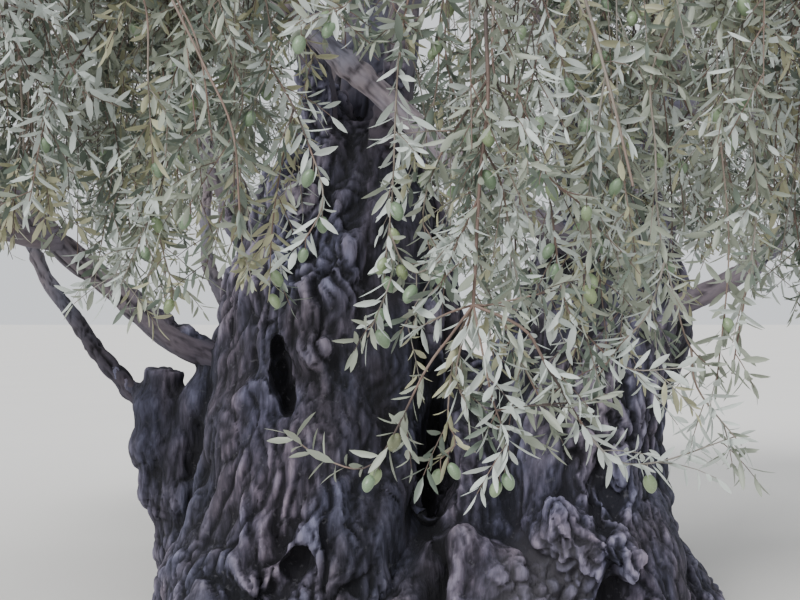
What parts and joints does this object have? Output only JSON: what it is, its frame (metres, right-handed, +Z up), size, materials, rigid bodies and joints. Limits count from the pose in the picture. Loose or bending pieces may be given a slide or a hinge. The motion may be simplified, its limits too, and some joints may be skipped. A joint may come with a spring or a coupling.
{
  "type": "olive tree",
  "caption": "Old olive tree with a broad, gnarled, forked trunk, long arching boughs and a spreading, weeping crown of narrow grey-green leaves with green fruit.",
  "frame": {"origin": "on the ground, at the middle of the flat cut under the trunk", "axes": "+Z up, +X to the right seen from the front, -Y towards the front, the side with the low curtains"},
  "size_m": [8.4661, 8.9775, 6.2572],
  "materials": {
    "trunk_bark": "rough, deeply furrowed",
    "limb_bark": "rough, finely fissured",
    "foliage": "satin above, matt and silvery below"
  },
  "bodies": {
    "root": {"trunk": "trunk_bark", "left_limb": "limb_bark", "left_limb_fork": "limb_bark", "left_low_limb": "limb_bark", "left_thin_limb": "limb_bark", "left_upper_bough": "limb_bark", "left_crown_bough": "limb_bark", "left_fore_bough": "limb_bark", "left_inner_bough": "limb_bark", "front_bough": "limb_bark", "front_fork": "limb_bark", "crossing_bough": "limb_bark", "right_limb": "limb_bark", "right_limb_fork": "limb_bark", "right_fore_bough": "limb_bark", "right_fore_fork": "limb_bark", "right_outer_bough": "limb_bark", "right_outer_fork": "limb_bark", "right_inner_bough": "limb_bark", "right_inner_fork": "limb_bark", "back_right_bough": "limb_bark", "back_right_fork": "limb_bark", "back_left_bough": "limb_bark", "back_left_fork": "limb_bark", "skirt_foliage_1": "foliage", "skirt_foliage_2": "foliage", "skirt_foliage_3": "foliage", "skirt_foliage_4": "foliage", "skirt_foliage_5": "foliage", "skirt_foliage_6": "foliage", "skirt_foliage_7": "foliage", "skirt_foliage_8": "foliage", "skirt_foliage_9": "foliage", "shoulder_foliage_1": "foliage", "shoulder_foliage_2": "foliage", "shoulder_foliage_3": "foliage", "shoulder_foliage_4": "foliage", "shoulder_foliage_5": "foliage", "shoulder_foliage_6": "foliage", "shoulder_foliage_7": "foliage", "top_foliage_1": "foliage", "top_foliage_2": "foliage", "top_foliage_3": "foliage", "top_foliage_4": "foliage", "curtain_foliage_left": "foliage", "curtain_foliage_middle": "foliage", "curtain_foliage_right": "foliage"}
  },
  "joints": []
}
